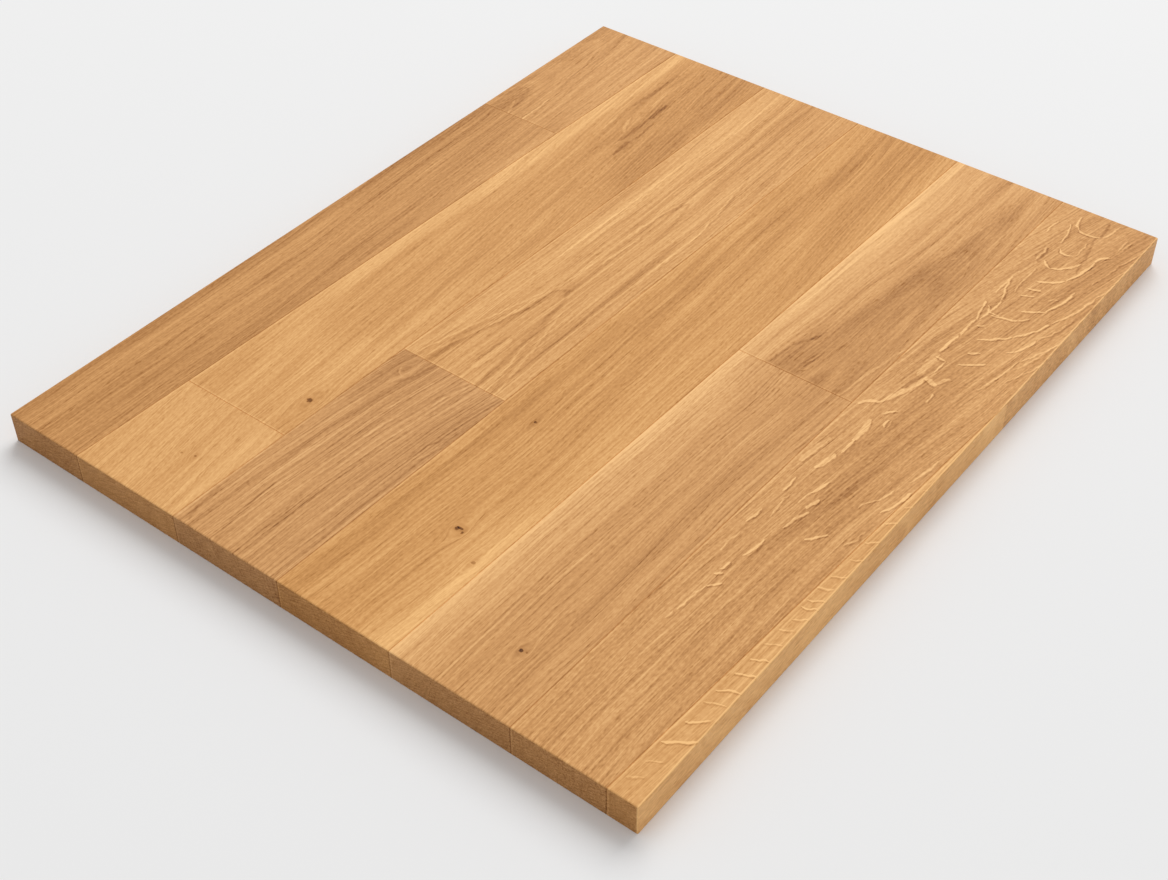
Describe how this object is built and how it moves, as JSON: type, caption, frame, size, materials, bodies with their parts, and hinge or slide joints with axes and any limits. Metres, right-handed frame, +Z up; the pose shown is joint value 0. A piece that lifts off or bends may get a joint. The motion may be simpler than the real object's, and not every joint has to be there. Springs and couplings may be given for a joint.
{
  "type": "oak parquet panel",
  "caption": "Rectangular solid oak parquet panel of square-edged staves in staggered rows, glued edge to edge and sawn square; lies flat as floor covering.",
  "frame": {"origin": "middle of the underside, on the surface that the panel lies on", "axes": "+X across the staves, from row 1 to the closing strip; +Y along the staves, away from the near end; +Z up, out of the wearing face"},
  "size_m": [0.4, 0.5, 0.018],
  "materials": {
    "oak_brown": "satin",
    "oak_honey": "satin",
    "oak_pale": "satin"
  },
  "bodies": {
    "root": {"stave_1_near": "oak_brown", "stave_1_far": "oak_honey", "stave_2_near": "oak_pale", "stave_2_far": "oak_honey", "stave_3_near": "oak_brown", "stave_3_far": "oak_pale", "stave_4": "oak_honey", "stave_5_near": "oak_honey", "stave_5_far": "oak_honey", "stave_6": "oak_honey", "closing_wedge": "oak_pale"}
  },
  "joints": []
}
